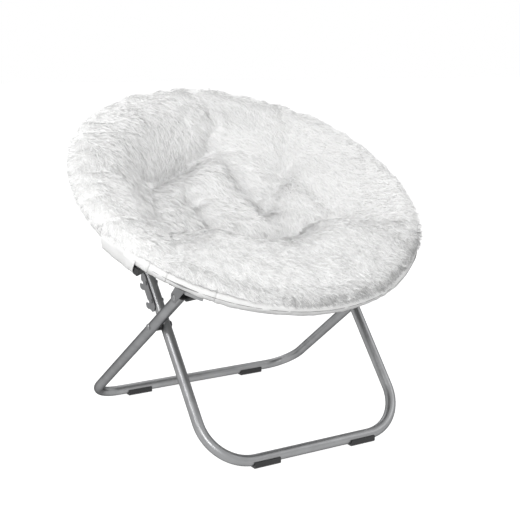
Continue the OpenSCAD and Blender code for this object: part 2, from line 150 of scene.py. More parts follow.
def painted_steel(name, base, rough):
    """Satin paint on steel: a slightly mottled colour and a fine orange-peel bump."""
    m, nt, bs = new_mat(name)
    v = tex_coords(nt)
    lo = tuple(c * 0.90 for c in base)
    hi = tuple(min(1.0, c * 1.10) for c in base)
    col = ramp(nt, noise(nt, v, 35.0, 5.0), [(0.3, lo), (0.7, hi)])
    nt.links.new(col, bs.inputs["Base Color"])
    bs.inputs["Metallic"].default_value = 1.0
    bs.inputs["Specular Tint"].default_value = (0.12, 0.12, 0.12, 1.0)
    bs.inputs["Roughness"].default_value = rough
    bump(nt, noise(nt, v, 900.0, 2.0), 0.05, 0.0004, bs.inputs["Normal"])
    return m


def moulded_plastic(name, base, rough):
    """Moulded plastic with a fine grain."""
    m, nt, bs = new_mat(name)
    v = tex_coords(nt)
    lo = tuple(c * 0.8 for c in base)
    hi = tuple(c * 1.35 for c in base)
    col = ramp(nt, noise(nt, v, 60.0, 3.0), [(0.35, lo), (0.7, hi)])
    nt.links.new(col, bs.inputs["Base Color"])
    bs.inputs["Roughness"].default_value = rough
    bump(nt, noise(nt, v, 1400.0, 2.0), 0.12, 0.0003, bs.inputs["Normal"])
    return m


def woven(name, base, pitch=0.0011, depth=0.5, shade=0.9):
    """A plain weave: two crossed waves, a soft mottle and sheen."""
    m, nt, bs = new_mat(name)
    v = tex_coords(nt)
    waves = []
    for axis in ("X", "Z"):
        w = nt.nodes.new("ShaderNodeTexWave")
        w.wave_type = "BANDS"
        w.bands_direction = axis
        w.inputs["Scale"].default_value = 0.5 / pitch
        w.inputs["Distortion"].default_value = 1.2
        w.inputs["Detail"].default_value = 1.0
        nt.links.new(v, w.inputs["Vector"])
        waves.append(w.outputs["Fac"])
    weave = math_node(nt, "MULTIPLY", *waves).outputs[0]
    lo = tuple(c * shade for c in base)
    mix = nt.nodes.new("ShaderNodeMix")
    mix.data_type = "RGBA"
    mix.inputs["Factor"].default_value = 0.35
    nt.links.new(ramp(nt, weave, [(0.0, lo), (0.8, base)]), mix.inputs["A"])
    nt.links.new(ramp(nt, noise(nt, v, 14.0, 5.0), [(0.3, lo), (0.7, base)]), mix.inputs["B"])
    nt.links.new(mix.outputs["Result"], bs.inputs["Base Color"])
    bs.inputs["Roughness"].default_value = 0.85
    bs.inputs["Sheen Weight"].default_value = 0.25
    bs.inputs["Sheen Roughness"].default_value = 0.5
    bump(nt, weave, depth, 0.0004, bs.inputs["Normal"])
    return m


def pile(name, base, deep):
    """Fur: the colour follows each strand's "shade" value, a random tone with painted shade in it, with a
    mottle over it.
    """
    m, nt, bs = new_mat(name)
    v = tex_coords(nt)
    att = nt.nodes.new("ShaderNodeAttribute")
    att.attribute_name = "shade"
    tone = math_node(nt, "MULTIPLY_ADD", noise(nt, v, 60.0, 3.0, 0.6), 0.35)
    nt.links.new(att.outputs["Fac"], tone.inputs[2])
    darkest = tuple(c * 0.70 for c in deep)
    col = ramp(nt, tone.outputs[0], [(0.0, darkest), (0.22, deep), (0.75, base)])
    nt.links.new(col, bs.inputs["Base Color"])
    bs.inputs["Roughness"].default_value = 0.62
    bs.inputs["Specular IOR Level"].default_value = 0.3
    bs.inputs["Sheen Weight"].default_value = 0.3
    bs.inputs["Sheen Roughness"].default_value = 0.4
    return m


grey_paint = painted_steel("grey_paint_steel", (0.300, 0.303, 0.308), 0.37)
dark_metal = painted_steel("dark_plated_steel", (0.09, 0.09, 0.095), 0.36)
black_plastic = moulded_plastic("black_moulding", (0.009, 0.009, 0.010), 0.45)
white_cloth = woven("white_woven_cloth", (0.88, 0.88, 0.875), depth=0.3, shade=0.95)
fur_mat = pile("white_pile", (0.992, 0.992, 0.989), (0.80, 0.80, 0.798))
fur_base_mat = pile("white_pile_backing", (0.975, 0.975, 0.972), (0.91, 0.91, 0.907))
# Dark grey for the seam's cord: painted shadow in the gap along the seam
seam_and_gap_shadow_mat = woven("grey_seam_and_painted_gap_shadow", (0.30, 0.30, 0.30), pitch=0.0006)

slot_mats = {
    "grey_paint": grey_paint, "dark_fittings": dark_metal, "black_plastic": black_plastic,
    "white_fabric": white_cloth, "faux_fur": fur_base_mat,
}
for entry in frame["record"]["subparts"]:
    obj = frame["nodes"][entry["node"]]
    obj.data.materials.clear()
    obj.data.materials.append(slot_mats[entry["material_slot"]])

# ---------------------------------------------------------------- mesh helpers

def linked(name, data):
    """A new object with this data, in the scene."""
    ob = bpy.data.objects.new(name, data)
    bpy.context.scene.collection.objects.link(ob)
    return ob


def make_mesh(name, verts, faces, mat):
    me = bpy.data.meshes.new(name)
    me.from_pydata([tuple(v) for v in verts], [], [tuple(int(i) for i in f) for f in faces])
    me.update()
    me.materials.append(mat)
    me.polygons.foreach_set("use_smooth", [True] * len(me.polygons))
    return linked(name, me)


def evaluated(ob):
    """The points and faces of an object with its modifiers, after which it is removed."""
    final = ob.evaluated_get(bpy.context.evaluated_depsgraph_get())
    me = final.to_mesh()
    co = np.empty(len(me.vertices) * 3)
    me.vertices.foreach_get("co", co)
    faces = [tuple(f.vertices) for f in me.polygons]
    final.to_mesh_clear()
    bpy.data.objects.remove(ob, do_unlink=True)
    return co.reshape(-1, 3), faces


def smoothstep(t):
    t = np.clip(t, 0.0, 1.0)
    return t * t * (3 - 2 * t)


def value_noise(p, scale, seed):
    """Smooth repeatable noise in 2D, from -1 to 1."""
    q = p / scale
    cell = np.floor(q).astype(int)
    f = q - cell
    u = f * f * (3 - 2 * f)
    ix, iy = cell[..., 0], cell[..., 1]
    ux, uy = u[..., 0], u[..., 1]

    def rnd(ix, iy):
        n = (ix * 374761393 + iy * 668265263 + seed * 974634777) & 0x7FFFFFFF
        n = ((n ^ (n >> 13)) * 1274126177) & 0x7FFFFFFF
        return ((n ^ (n >> 16)) & 0xFFFF) / 32767.5 - 1.0

    near = rnd(ix, iy) * (1 - ux) + rnd(ix + 1, iy) * ux
    far = rnd(ix, iy + 1) * (1 - ux) + rnd(ix + 1, iy + 1) * ux
    return near * (1 - uy) + far * uy


# ---------------------------------------------------------------- cushion

ROLL = 0.019                      # how high the padded rim stands over the ring's plane
CROWN_R = RING_R - 1.6 * ROLL     # where the top turns down into the rim
CUSHION_R = RING_R + 0.012        # the rim's widest
WELL = 0.082                      # how deep the middle of the top lies
LIP = 0.0046                      # height of the rim's lower edge
RIM_ROWS = 8                      # rows of points from the crown to that edge
N_TOP = 61                        # rows from the middle to the crown
SLING_R = RING_R - SLEEVE_R - 0.0003
SLING_DROP = 0.138                # how deep the sling hangs in the middle
# The tufts the pile is drawn down to: (x, v) in the ring's plane, how deep and how wide
TUFTS = {
    "back_left": (-0.161, 0.128, 0.031, 0.036), "back": (0.014, 0.222, 0.022, 0.032),
    "back_right": (0.180, 0.138, 0.012, 0.028), "left": (-0.221, -0.044, 0.007, 0.026),
    "right": (0.219, -0.056, 0.009, 0.026), "mid_right": (0.088, 0.045, 0.036, 0.030),
    "mid_left": (-0.088, 0.076, 0.026, 0.027), "low_left": (-0.063, -0.049, 0.030, 0.036),
    "low_right": (0.098, -0.058, 0.017, 0.026), "top_right": (0.203, 0.196, 0.003, 0.030),
}
# The creases between them: from, to, how deep and how wide
CREASES = [
    ("back_left", "back", 0.027, 0.027), ("back", "mid_right", 0.020, 0.021),
    ("mid_right", "back_right", 0.015, 0.022), ("back_right", "top_right", 0.006, 0.022),
    ("back_left", "mid_left", 0.013, 0.018), ("mid_left", "low_left", 0.019, 0.023),
    ("low_left", "low_right", 0.024, 0.030), ("low_right", "mid_right", 0.008, 0.018),
    ("low_right", "right", 0.010, 0.018), ("low_left", "left", 0.007, 0.018),
    ("left", "back_left", 0.005, 0.020), ("back_right", "right", 0.003, 0.018),
]
# The pillows that stand up between them: (x, v), height and width
PILLOWS = [
    (0.000, 0.150, 0.012, 0.055), (-0.190, 0.045, 0.007, 0.050),
    (0.235, 0.060, 0.009, 0.060), (0.105, 0.190, 0.005, 0.040),
]


def point_dist(p, x, v):
    return np.linalg.norm(p - np.array((x, v)), axis=-1)


def seg_dist(p, a, b):
    """Distance of the points p from the line between two tufts."""
    a, b = np.array(TUFTS[a][:2]), np.array(TUFTS[b][:2])
    d = b - a
    t = np.clip(((p - a) @ d) / (d @ d), 0, 1)
    return np.linalg.norm(p - a - t[..., None] * d, axis=-1)


def dent(dist, wide):
    """1 at no distance, fading to 0."""
    return np.exp(-(dist / wide) ** 2)


def sling_height(r):
    """Height of the sling's bowl at this distance from the middle."""
    return -SLING_DROP * max(0.0, 1 - (r / SLING_R) ** 2) ** 1.3


def front_share(p):
    """The thick roll across the front, which has no tufts: 1 on it and 0 away from it."""
    r = np.linalg.norm(p, axis=-1)
    ahead = smoothstep((-p[..., 1] / np.maximum(r, 1e-6) - 0.35) / 0.4)
    return ahead * smoothstep((r - 0.34 * RING_R) / (0.11 * RING_R))


def tuft_drop(p):
    """How far the tufts and the creases between them draw the top down at p."""
    drop = np.zeros(p.shape[:-1])
    for x, v, deep, wide in TUFTS.values():
        drop = np.maximum(drop, deep * dent(point_dist(p, x, v), wide))
    for a, b, deep, wide in CREASES:
        drop = np.maximum(drop, deep * dent(seg_dist(p, a, b), wide))
    return drop


def top_height(p):
    """Height of the padded top above the ring's plane at ring-plane points p."""
    r = np.linalg.norm(p, axis=-1)
    # The dish, a little lower at the back
    h = -WELL + (WELL + ROLL) * np.clip(r / CROWN_R, 0, None) ** 2.3
    h = h - 0.006 * smoothstep((p[..., 1] - 0.17) / 0.14)
    # The front roll has a profile of its own
    front = front_share(p)
    roll = -0.056 + 0.072 * smoothstep((r - 0.122) / 0.085) ** 0.7
    roll = roll + 0.008 * smoothstep((r - 0.19) / 0.10) - 0.004 * smoothstep((r - 0.30) / 0.04)
    h = h + front * (roll - h)
    # The stuffing swells in two rounds, most at the back left, and between the tufts
    puff = 0.005 * smoothstep(1 - np.abs(r - 0.165) / 0.06)
    puff = puff + 0.003 * smoothstep(1 - np.abs(r - 0.29) / 0.07)
    back_left = smoothstep((-0.75 * p[..., 0] + 0.66 * p[..., 1]) / np.maximum(r, 1e-6) / 0.8)
    puff = puff + (0.004 + 0.020 * back_left) * smoothstep(1 - np.abs(r - 0.282) / 0.074)
    for x, v, high, wide in PILLOWS:
        puff = puff + high * dent(point_dist(p, x, v), wide)
    puff = (puff - tuft_drop(p)) * (1 - front)
    return h + puff + 0.0022 * value_noise(p, 0.045, 3) + 0.0010 * value_noise(p, 0.018, 5)


def edge_rows(ang):
    """The pad's rim, hem and underside, row by row, as (radius, height, share that follows the top)
    round the ring. At the front the cover is drawn in, so that the sleeve shows below it."""
    front = smoothstep((-np.sin(ang) - 0.05) / 0.5)
    edge_r = CUSHION_R - 0.0075 * front + 0.006 * smoothstep((np.cos(ang) - 0.55) / 0.3)
    lip = LIP + 0.0065 * front
    for i in range(1, RIM_ROWS + 1):
        a = math.radians(90 * i / RIM_ROWS)
        w = math.cos(a) ** 2
        yield CROWN_R + (edge_r - CROWN_R) * math.sin(a), lip + (ROLL - lip) * math.cos(a), w
    # Over the sleeve
    hem_r, hem_rows = 0.0127, 7
    first = np.radians(28 + 42 * front)
    for i in range(hem_rows):
        a = first + (math.radians(152) - first) * i / (hem_rows - 1)
        yield RING_R + hem_r * np.cos(a), hem_r * np.sin(a), 0.0
    # Just above the sling
    outside, inside, rows = 0.347, 0.03, 15
    for i in range(rows):
        t = i / (rows - 1)
        r = outside + (inside - outside) * t
        h = sling_height(r) + 0.0022 + 0.0062 * math.sin(math.pi * t)
        yield np.full(len(ang), r), np.full(len(ang), h), 0.0


def cushion_mesh(sectors=216):
    """Rows of points from the middle of the top round the rim to the middle below."""
    ang, unit = unit_circle(sectors)
    rows = [np.array([[0, 0, float(top_height(np.zeros((1, 2)))[0])]])]
    for t in np.linspace(0, 1, N_TOP + 1)[1:]:
        xy = CROWN_R * t * unit
        rows.append(np.concatenate([xy, top_height(xy)[:, None]], -1))
    lip_wave = 0.0021 * value_noise(unit, 0.09, 11)
    for r, h, w in edge_rows(ang):
        z = h + (w * (top_height(CROWN_R * unit) - ROLL) + (1 - w) * lip_wave if w > 0 else 0)
        rows.append(np.concatenate([r[:, None] * unit, z[:, None]], -1))
    n = len(rows) - 1
    rows.append(np.array([[0, 0, -SLING_DROP + 0.0052]]))
    faces = [(0, 1 + j, 1 + (j + 1) % sectors) for j in range(sectors)]
    for i in range(n - 1):
        a = 1 + i * sectors
        for j in range(sectors):
            k = (j + 1) % sectors
            faces.append((a + j, a + sectors + j, a + sectors + k, a + k))
    a = 1 + (n - 1) * sectors
    faces += [(a + j, a + sectors, a + (j + 1) % sectors) for j in range(sectors)]
    return np.concatenate(rows), faces, n, sectors


ring_verts, faces, n_rows, S = cushion_mesh()

HELD_NEAR = 0.010     # the thread holds the cover down this far round a tuft or crease
SWELL = 0.0035        # the most that the stuffing lifts the cover
SWELL_FRAMES = 18


def inflate(verts, faces):
    """Cloth simulation of the stuffed top: tufts, creases, hem and underside are held, the rest swells."""
    ob = make_mesh("inflating", to_world(verts), faces, fur_base_mat)
    pins = ob.vertex_groups.new(name="held")
    row = np.concatenate([[0], 1 + (np.arange(len(verts) - 2) // S), [n_rows + 1]])
    p = verts[:, :2]
    near = np.full(len(verts), np.inf)
    for x, v, _, _ in TUFTS.values():
        near = np.minimum(near, point_dist(p, x, v))
    for a, b, _, _ in CREASES:
        near = np.minimum(near, seg_dist(p, a, b))
    held = (row > N_TOP + RIM_ROWS) | ((row <= N_TOP) & (near < HELD_NEAR))
    pins.add([int(i) for i in np.nonzero(held)[0]], 1.0, "REPLACE")
    mod = ob.modifiers.new("cloth", "CLOTH")
    st = mod.settings
    st.quality = 5
    st.mass = 0.3
    st.vertex_group_mass = "held"
    st.use_pressure = True
    st.uniform_pressure_force = 4.0
    st.shrink_min = -0.035
    st.tension_stiffness = 12
    st.compression_stiffness = 10
    st.shear_stiffness = 5
    st.bending_stiffness = 0.4
    st.effector_weights.gravity = 0.0
    mod.collision_settings.use_collision = False
    for f in range(1, SWELL_FRAMES + 1):
        bpy.context.scene.frame_set(f)
    swollen, _ = evaluated(ob)
    bpy.context.scene.frame_set(1)
    move = to_ring(swollen) - verts
    size = np.linalg.norm(move, axis=-1, keepdims=True)
    move *= np.where(size > SWELL, SWELL / np.maximum(size, 1e-9), 1.0)
    return verts + move


ring_verts = inflate(ring_verts, faces)


def subdivided(verts, faces):
    """The mesh with each face split once and smoothed."""
    ob = make_mesh("fine", verts, faces, fur_base_mat)
    ob.modifiers.new("s", "SUBSURF").levels = 1
    return evaluated(ob)


def half(name, verts, faces, keep_rear, mat):
    """The part of a closed ring-frame mesh on one side of the fold hinge, capped where it is cut."""
    bm = bmesh.new()
    vs = [bm.verts.new(v) for v in verts]
    for f in faces:
        bm.faces.new([vs[i] for i in f])
    bmesh.ops.recalc_face_normals(bm, faces=bm.faces)
    geom = bm.verts[:] + bm.edges[:] + bm.faces[:]
    res = bmesh.ops.bisect_plane(bm, geom=geom, dist=1e-6, plane_co=(0, HINGE_V, 0), plane_no=(0, 1, 0),
                                 clear_inner=keep_rear, clear_outer=not keep_rear)
    edges = [e for e in res["geom_cut"] if isinstance(e, bmesh.types.BMEdge)]
    filled = bmesh.ops.triangle_fill(bm, edges=edges, use_beauty=True, normal=(0, 1, 0))["geom"]
    caps = [e for e in filled if isinstance(e, bmesh.types.BMFace)]
    for e in edges:
        e.smooth = False
    for f in bm.faces:
        f.smooth = True
    for f in caps:
        f.smooth = False
    world = to_world(np.array([v.co[:] for v in bm.verts]))
    for v, w in zip(bm.verts, world):
        v.co = w
    me = bpy.data.meshes.new(name)
    bm.to_mesh(me)
    bm.free()
    me.materials.append(mat)
    return linked(name, me)


FOLD_ANCHOR = tuple(ring_point(HINGE_V, 0.008))


def squash_half(ob, rear):
    """A soft half rides its part of the ring."""
    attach(ob, "rear_ring" if rear else "front_ring")
    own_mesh(ob)


# ---------------------------------------------------------------- pile

STEPS = np.array([0.0, 0.35, 0.7, 1.0])     # where along a strand its rows of points lie
SIGHT = (0.646, 0.757)                      # the photograph's line of sight at the front: out and up


def scatter(verts, faces, count):
    """Points spread evenly over the padded top and rim, with the surface's normals there."""
    tris = []
    first_below = 1 + (N_TOP + RIM_ROWS) * S
    for f in faces:
        if max(f) >= first_below:
            continue
        tris.append((f[0], f[1], f[2]))
        if len(f) == 4:
            tris.append((f[0], f[2], f[3]))
    t = np.array(tris)
    a, b, c = verts[t[:, 0]], verts[t[:, 1]], verts[t[:, 2]]
    n = np.cross(b - a, c - a)
    area = np.linalg.norm(n, axis=-1)
    n /= np.maximum(area[:, None], 1e-12)
    vn = np.zeros_like(verts)
    for k in range(3):
        np.add.at(vn, t[:, k], n * area[:, None])
    vn /= np.maximum(np.linalg.norm(vn, axis=-1, keepdims=True), 1e-12)
    pick = rng.choice(len(t), size=count, p=area / area.sum())
    u, w = rng.random(count), rng.random(count)
    flip = u + w > 1
    u[flip], w[flip] = 1 - u[flip], 1 - w[flip]
    root = a[pick] + u[:, None] * (b - a)[pick] + w[:, None] * (c - a)[pick]
    nor = sum(vn[t[pick, k]] * share[:, None] for k, share in enumerate((1 - u - w, u, w)))
    nor /= np.linalg.norm(nor, axis=-1, keepdims=True)
    return root, -nor if np.mean(nor[:, 2]) < 0 else nor


def rim_share(r):
    """1 on the cushion's rim and 0 inside it."""
    return smoothstep((r - 0.32) / 0.05)


def combed(root, nor):
    """The way each strand lies along the surface, to the front with swirls, and the way across it."""
    xy = root[:, :2]
    r = np.linalg.norm(xy, axis=-1, keepdims=True)
    swirl = np.stack([value_noise(xy, 0.10, 21), value_noise(xy, 0.10, 22)], -1) * 0.45
    swirl += np.stack([value_noise(xy, 0.035, 23), value_noise(xy, 0.035, 24)], -1) * 0.35
    nap = np.array([0.30, -0.95]) + swirl
    nap = nap + rim_share(r) * 0.35 * xy / np.maximum(r, 1e-6)
    # At the left it hangs down over the edge
    hang = smoothstep((r - 0.362) / 0.012) * smoothstep((-xy[:, :1] / np.maximum(r, 1e-6) - 0.45) / 0.3)
    comb = np.concatenate([nap * (1 - 0.5 * hang), -1.1 * hang], -1)
    comb -= nor * np.sum(comb * nor, -1, keepdims=True)
    comb /= np.maximum(np.linalg.norm(comb, axis=-1, keepdims=True), 1e-9)
    turn = rng.normal(0, 0.30, len(root))[:, None]
    comb = comb * np.cos(turn) + np.cross(nor, comb) * np.sin(turn)
    return comb, np.cross(nor, comb)


def clear_of_sleeve(q):
    """Heights of the strands' points q, lifted where they would hide the white sleeve below the pile."""
    r = np.linalg.norm(q[:, :2], axis=-1)
    right, back = q[:, 0] / r, q[:, 1] / r
    over = smoothstep((r - 0.362) / 0.010)
    front = smoothstep((-back - 0.05) / 0.5) * (1 - smoothstep((-right - 0.86) / 0.05))
    middle = smoothstep((-back - 0.86) / 0.08)
    front_h = 0.0070 - 0.0085 * middle + 0.0020 * value_noise(q[:, :2], 0.006, 25)
    side_h = 0.0015 - 0.021 * smoothstep((-right - 0.80) / 0.10)
    least = side_h + front * ((front_h + SIGHT[0] * (r - RING_R)) / SIGHT[1] - side_h)
    return np.where(q[:, 2] < least, q[:, 2] + over * (least - q[:, 2]), q[:, 2])


def pile_strands(verts, faces, count):
    """Long pile as tapered ribbons: rooted over the padded top and rim, combed and gathered into locks.
    Returns the points and shades of each ribbon, a random tone with painted shade in it, and where it is
    rooted."""
    root, nor = scatter(verts, faces, count)
    comb, side = combed(root, nor)
    xy = root[:, :2]
    r = np.linalg.norm(xy, axis=-1, keepdims=True)
    rim = rim_share(r)
    smooth = front_share(xy)[:, None] * (1 - smoothstep((r - 0.315) / 0.03))
    length = rng.uniform(0.013, 0.023, count)[:, None] * (1 - 0.42 * rim) * (1 - 0.35 * smooth)
    lift = rng.uniform(0.22, 0.38, count)[:, None] * (1 - 0.45 * smooth)
    # Strands lean to the tip of the nearest lock
    locks = root[rng.choice(count, count // 9, replace=False)]
    tree = KDTree(len(locks))
    for i, p in enumerate(locks):
        tree.insert(p, i)
    tree.balance()
    near = np.array([tree.find(p)[1] for p in root])
    pull = (locks[near] - root) * rng.uniform(0.25, 0.6, count)[:, None] * (1 - 0.5 * rim)
    rows = []
    for s in STEPS:
        along = comb * length * s
        up = nor * (length * lift * np.sin(math.pi * 0.62 * s) * 0.8)
        q = root + along + up + pull * s ** 1.5 - nor * 0.001 * (1 - s)
        q[:, 2] = clear_of_sleeve(q)
        rows.append(q)
    # Painted shade: darker in the tufts and under the rim's front edge, and a little darker on the front roll
    pit = np.clip(tuft_drop(xy) / 0.03, 0, 1) * (1 - front_share(xy))
    lock_shade = rng.uniform(-0.12, 0.10, len(locks))[near] - 0.52 * pit
    right, back = xy[:, 0] / r[:, 0], xy[:, 1] / r[:, 0]
    below = smoothstep((r[:, 0] - 0.350) / 0.022) * smoothstep((-back - 0.32) / 0.4)
    below = below * smoothstep((right + 0.55) / 0.6)
    lock_shade = lock_shade * (1 + 2.5 * below) - 0.80 * below - 0.42 * front_share(xy)
    one = rng.uniform(-0.20, 0.16, count)
    width = rng.uniform(0.0009, 0.0016, count)[:, None]
    tilt = rng.normal(0, 0.5, count)[:, None]
    across = side * np.cos(tilt) + nor * np.sin(tilt)
    # Painted shade: each strand's tone rises from its root to its tip, darker deep in the pile
    pts, shade = [], []
    for row, s in zip(rows[:-1], STEPS[:-1]):
        half_w = across * width * (1 - 0.55 * s) * 0.5
        pts += [row - half_w, row + half_w]
        tone = np.clip(0.42 + 0.40 * s + lock_shade + one, -0.25, 1)
        shade += [tone, tone]
    pts.append(rows[-1])
    shade.append(np.clip(0.86 + lock_shade + one, -0.25, 1))
    return np.stack(pts, 1), np.stack(shade, 1), root


def strand_object(name, pts, shade):
    """All ribbons as one mesh: each has seven points, two quads and a triangle at its tip."""
    n, corners = pts.shape[:2]
    ribbon = np.array([0, 1, 3, 2, 2, 3, 5, 4, 4, 5, 6])
    me = bpy.data.meshes.new(name)
    me.vertices.add(n * corners)
    me.vertices.foreach_set("co", to_world(pts.reshape(-1, 3)).ravel())
    loops = (np.arange(n)[:, None] * corners + ribbon).ravel()
    starts = (np.arange(n)[:, None] * len(ribbon) + [0, 4, 8]).ravel()
    me.loops.add(len(loops))
    me.loops.foreach_set("vertex_index", loops)
    me.polygons.add(len(starts))
    me.polygons.foreach_set("loop_start", starts)
    me.update(calc_edges=True)
    me.polygons.foreach_set("use_smooth", [True] * len(starts))
    at = me.attributes.new("shade", "FLOAT", "POINT")
    at.data.foreach_set("value", shade.ravel())
    me.materials.append(fur_mat)
    me.validate()
    return linked(name, me)


STRANDS = 120000
pts, shade, root = pile_strands(ring_verts, faces, STRANDS)
rear_root = root[:, 1] > HINGE_V
pile_rear = strand_object("pile_rear", pts[rear_root], shade[rear_root])
pile_front = strand_object("pile_front", pts[~rear_root], shade[~rear_root])
pad_verts, pad_faces = subdivided(ring_verts, faces)
pad_rear = half("cushion_rear", pad_verts, pad_faces, True, fur_base_mat)
pad_front = half("cushion_front", pad_verts, pad_faces, False, fur_base_mat)
for ob, rear in ((pad_rear, True), (pad_front, False)):
    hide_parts("seat_cushion")
    squash_half(ob, rear)
for ob, rear in ((pile_rear, True), (pile_front, False)):
    squash_half(ob, rear)

# ---------------------------------------------------------------- sling

CLOTH = 0.0009              # thickness of the sleeve's and the covers' cloth


def sling_mesh(sectors=288, rings=40):
    """The hanging bowl, gathered toward its rim: an upper and a lower face, joined round the rim."""
    _, unit = unit_circle(sectors)
    gathers = sum(value_noise(unit, scale, seed) * share
                  for scale, seed, share in ((0.22, 31, 0.5), (0.10, 32, 0.35), (0.045, 33, 0.3)))
    layers = []
    for drop in (0.0, 0.0016):
        pts = []
        for i in range(1, rings + 1):
            r = SLING_R * math.sin(math.pi / 2 * i / rings)
            amp = 0.0032 * smoothstep((r - 0.20) / 0.12) * smoothstep((SLING_R - r) / 0.012)
            xy = r * unit
            z = sling_height(r) - drop - 0.0012 + amp * (gathers - 0.4)
            z = z + 0.0010 * value_noise(xy, 0.05, 34) * (r < 0.34)
            pts.append(np.concatenate([xy, z[:, None]], -1))
        middle = [[0, 0, -SLING_DROP - drop - 0.0012]]
        layers.append(np.concatenate([middle, np.concatenate(pts)]))
    n1 = len(layers[0])
    faces = []
    for base, up in ((0, True), (n1, False)):
        for j in range(sectors):
            t = (base, base + 1 + j, base + 1 + (j + 1) % sectors)
            faces.append(t if up else t[::-1])
        for i in range(rings - 1):
            a = base + 1 + i * sectors
            for j in range(sectors):
                n = (j + 1) % sectors
                q = (a + j, a + sectors + j, a + sectors + n, a + n)
                faces.append(q if up else q[::-1])
    a, b = 1 + (rings - 1) * sectors, n1 + 1 + (rings - 1) * sectors
    for j in range(sectors):
        n = (j + 1) % sectors
        faces.append((a + j, b + j, b + n, a + n))
    return np.concatenate(layers), faces


# The bowl is cut in two at the fold hinge, and each half rides its part of the ring
sv, sf = sling_mesh()
for name, rear in (("sling_rear", True), ("sling_front", False)):
    ob = half(name, sv, sf, rear, white_cloth)
    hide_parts("seat_sling")
    squash_half(ob, rear)

# ---------------------------------------------------------------- the sewn sleeve round the ring

FULL_TURN = np.linspace(0, 2 * math.pi, 29)[:-1]
OVER_TURN = np.radians(np.linspace(-35, 215, 22))


def rim_pocket(name, a0, a1, closed, steps, lift=0.0):
    """A loose, wrinkled sleeve along the ring from angle a0 to a1: right round the tube, or open below."""
    ang = np.linspace(a0, a1, steps)
    turn = FULL_TURN if closed else OVER_TURN
    m = len(turn)
    grid = []
    for a in ang:
        q = np.stack([np.full(m, a * RING_R), turn * SLEEVE_R], -1)
        wrinkle = 0.0011 * value_noise(q, 0.011, 41) + 0.0009 * value_noise(q, 0.028, 42)
        loose = 0.0022 * np.clip(-np.sin(turn), 0, 1) * (0.6 + 0.4 * value_noise(q * [1, 0], 0.05, 43))
        rad = SLEEVE_R + lift + 0.0006 + np.abs(wrinkle) + loose
        r = RING_R + rad * np.cos(turn)
        grid.append(np.stack([r * math.cos(a), r * math.sin(a), rad * np.sin(turn)], -1))
    grid = np.array(grid)
    middle = np.stack([RING_R * np.cos(ang), RING_R * np.sin(ang), np.zeros(steps)], -1)[:, None]
    out = grid - middle
    far = np.linalg.norm(out, axis=-1, keepdims=True)
    inner = middle + out * ((far - CLOTH) / far)
    verts = np.concatenate([grid.reshape(-1, 3), inner.reshape(-1, 3)])
    off = steps * m
    fc = []
    span = m if closed else m - 1
    for i in range(steps - 1):
        for j in range(span):
            k = (j + 1) % m
            q = (i * m + j, (i + 1) * m + j, (i + 1) * m + k, i * m + k)
            fc.append(q)
            fc.append(tuple(off + x for x in q[::-1]))
    for i in (0, steps - 1):
        for j in range(span):
            k = (j + 1) % m
            q = (i * m + j, i * m + k, off + i * m + k, off + i * m + j)
            fc.append(q if i == 0 else q[::-1])
    if not closed:
        for j in (0, m - 1):
            for i in range(steps - 1):
                q = (i * m + j, off + i * m + j, off + (i + 1) * m + j, (i + 1) * m + j)
                fc.append(q if j == 0 else q[::-1])
    return make_mesh(name, to_world(verts), fc, white_cloth)


def angle_at(x):
    """The angle from the side at which the ring's tube is x from the middle plane."""
    return math.asin(math.sqrt(RING_R ** 2 - x ** 2) / RING_R)


# Where the sleeves end beside the fold hinge, and where each bracket below opens a window in them
rear_end = math.asin(0.0958 / RING_R)
front_end = math.asin(0.2059 / RING_R)
rear_win = angle_at(0.263), angle_at(0.194)
front_win = angle_at(0.285), angle_at(0.2155)
# Name, from, to, right round the tube or open below, and the body it rides
runs = [
    ("rim_rear_right", -rear_end, rear_win[0], True, "rear_ring"),
    ("rim_rear_middle", rear_win[1], math.pi - rear_win[1], True, "rear_ring"),
    ("rim_rear_left", math.pi - rear_win[0], math.pi + rear_end, True, "rear_ring"),
    ("rim_rear_window_right", rear_win[0], rear_win[1], False, "rear_ring"),
    ("rim_rear_window_left", math.pi - rear_win[1], math.pi - rear_win[0], False, "rear_ring"),
    ("rim_front_left", math.pi + front_end, math.pi + front_win[0], True, "front_ring"),
    ("rim_front_middle", math.pi + front_win[1], 2 * math.pi - front_win[1], True, "front_ring"),
    ("rim_front_right", 2 * math.pi - front_win[0], 2 * math.pi - front_end, True, "front_ring"),
    ("rim_front_window_left", math.pi + front_win[0], math.pi + front_win[1], False, "front_ring"),
    ("rim_front_window_right", 2 * math.pi - front_win[1], 2 * math.pi - front_win[0], False, "front_ring"),
]


for name, a0, a1, closed, body in runs:
    steps = max(12, int(abs(a1 - a0) * RING_R / 0.004))
    ob = rim_pocket(name, a0, a1, closed, steps)
    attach(ob, body)
    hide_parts("rear_rim_sleeve" if body == "rear_ring" else "front_rim_sleeve")

# Over the fold hinge the cover is open below
for side, name in ((1, "rim_hinge_right"), (-1, "rim_hinge_left")):
    a0, a1 = (-front_end, -rear_end) if side > 0 else (math.pi + rear_end, math.pi + front_end)
    ob = rim_pocket(name, a0, a1, False, 30, lift=0.0004)
    tuple(ring_point(HINGE_V + 0.012, 0, side * 0.34))
    tuple(ring_point(HINGE_V - 0.012, 0, side * 0.34))
    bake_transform(ob)


